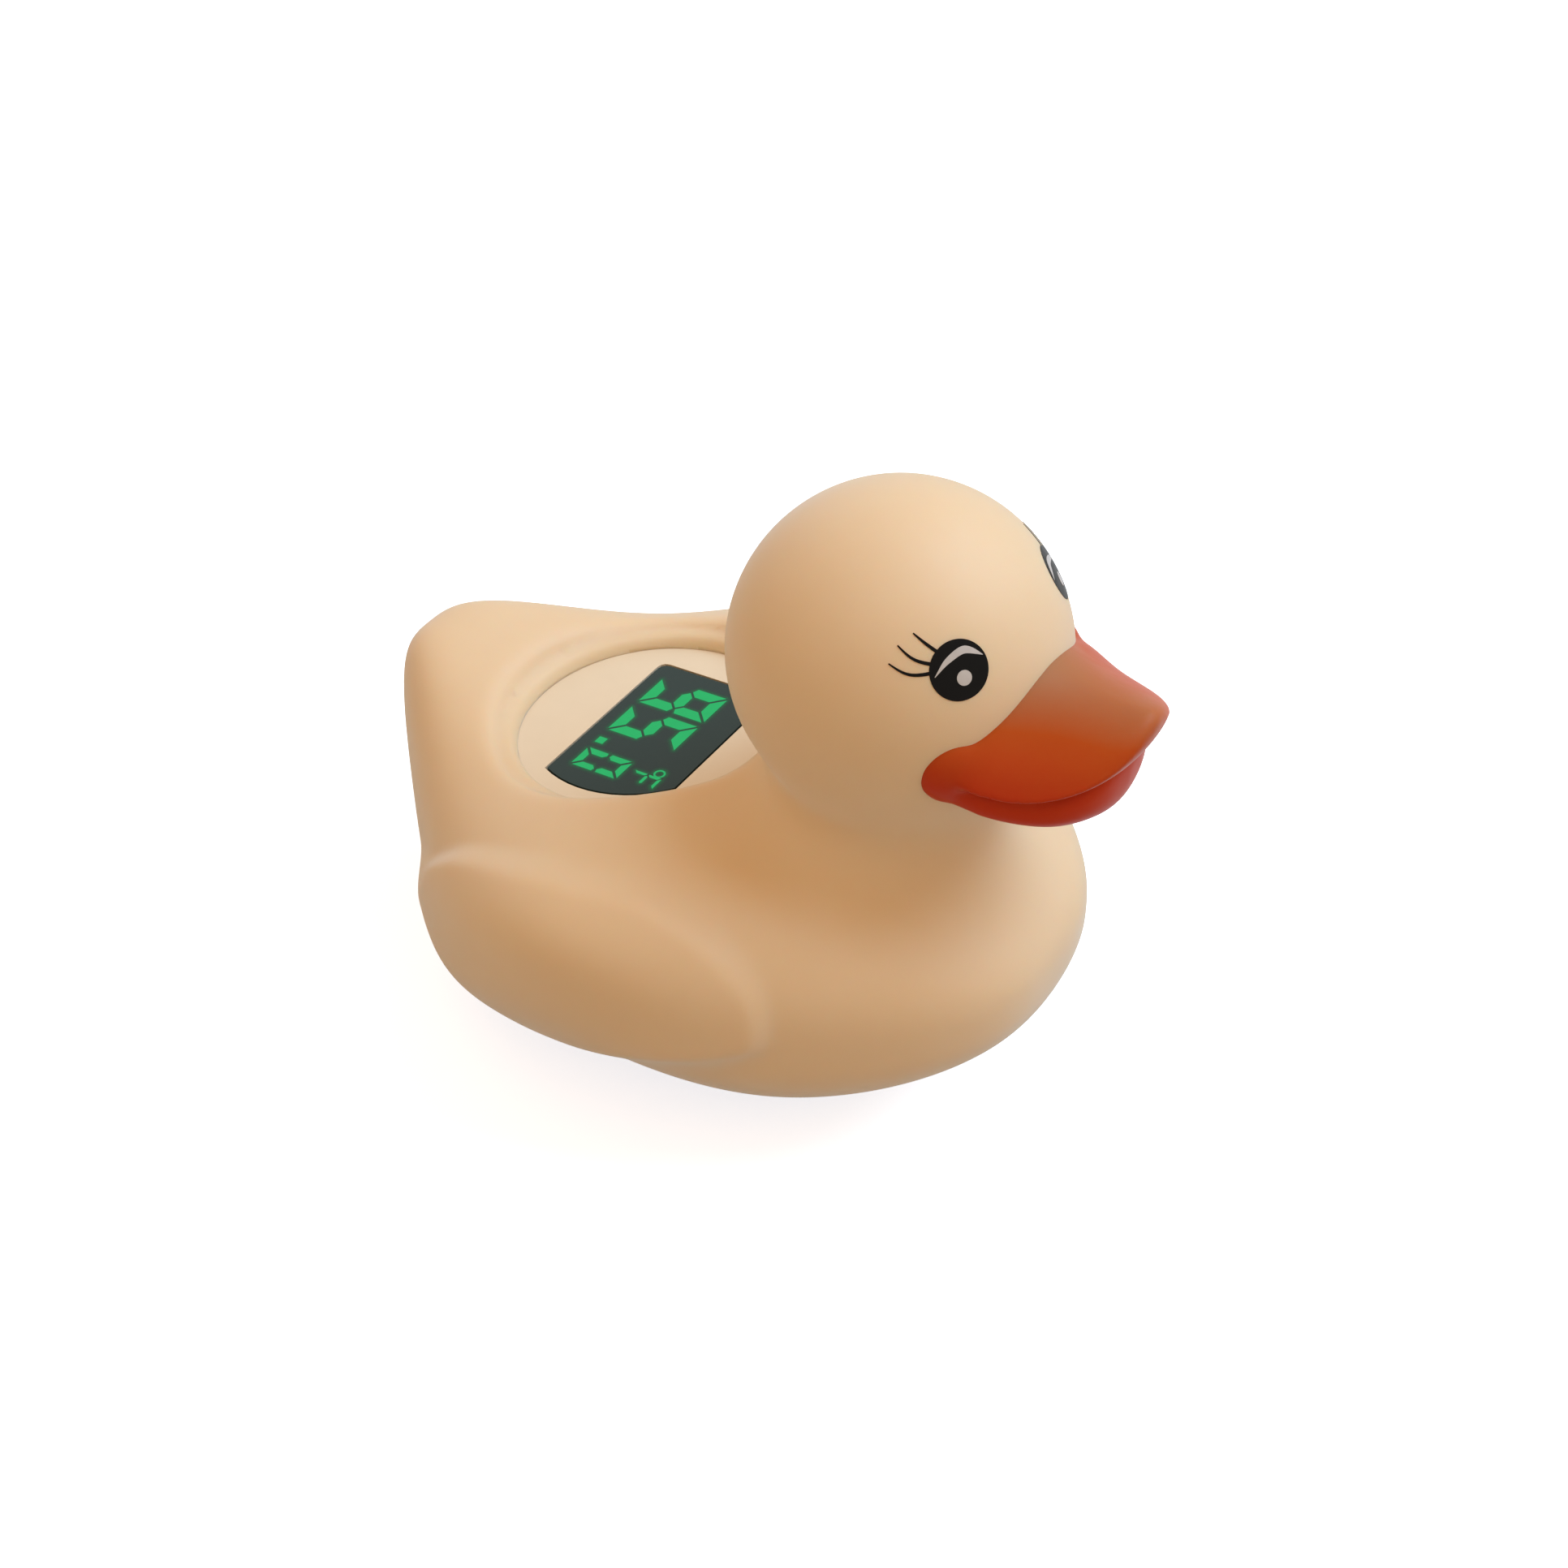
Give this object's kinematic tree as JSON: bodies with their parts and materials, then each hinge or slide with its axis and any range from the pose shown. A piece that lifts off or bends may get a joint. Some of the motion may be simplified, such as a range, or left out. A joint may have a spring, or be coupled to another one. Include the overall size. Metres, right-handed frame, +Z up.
{
  "type": "baby bath thermometer",
  "caption": "Floating vinyl duck with an orange beak, printed eyes and a round temperature display set in its back.",
  "frame": {"origin": "on the floor below the middle of the overall length and width", "axes": "+X toward the beak, +Y toward the duck's left side, +Z up"},
  "size_m": [0.1084, 0.0802, 0.084],
  "materials": {
    "duck_vinyl": "soft matte cream vinyl",
    "beak_paint": "glossy sprayed orange",
    "eye_ink": "printed black",
    "eye_white": "printed white",
    "housing_plastic": "satin moulded cream",
    "face_print": "satin printed cream",
    "window_plastic": "smoked gloss",
    "digit_film": "lit green",
    "reflector_plastic": "matte black",
    "board_laminate": "green solder mask",
    "chip_resin": "black epoxy",
    "steel": "bright",
    "cell_steel": "bright",
    "contact_metal": "plated",
    "seal_rubber": "matte",
    "wire_red": "matte",
    "wire_black": "matte",
    "wire_white": "matte"
  },
  "bodies": {
    "root": {"duck_shell": "duck_vinyl", "eye_print_right": "eye_ink", "eye_print_left": "eye_ink", "eye_glint_right": "eye_white", "eye_glint_left": "eye_white", "eye_dot_right": "eye_white", "eye_dot_left": "eye_white", "upper_housing": "housing_plastic", "face_disc": "face_print", "window_lens": "window_plastic", "digit_film": "digit_film", "reflector_block": "reflector_plastic", "main_board": "board_laminate", "controller_chip": "chip_resin", "timing_crystal": "steel", "series_resistor": "chip_resin", "filter_capacitor": "contact_metal", "base_housing": "housing_plastic", "battery_door": "housing_plastic", "door_screw_front": "steel", "door_screw_rear": "steel", "door_seal": "seal_rubber", "coin_cell": "cell_steel", "contact_plate": "contact_metal", "contact_spring": "contact_metal", "electrode_left": "steel", "electrode_right": "steel", "probe_tip": "steel", "lead_electrode_left": "wire_white", "lead_electrode_right": "wire_white", "lead_probe": "wire_white", "lead_battery_plus": "wire_red", "lead_battery_minus": "wire_black"}
  },
  "joints": []
}
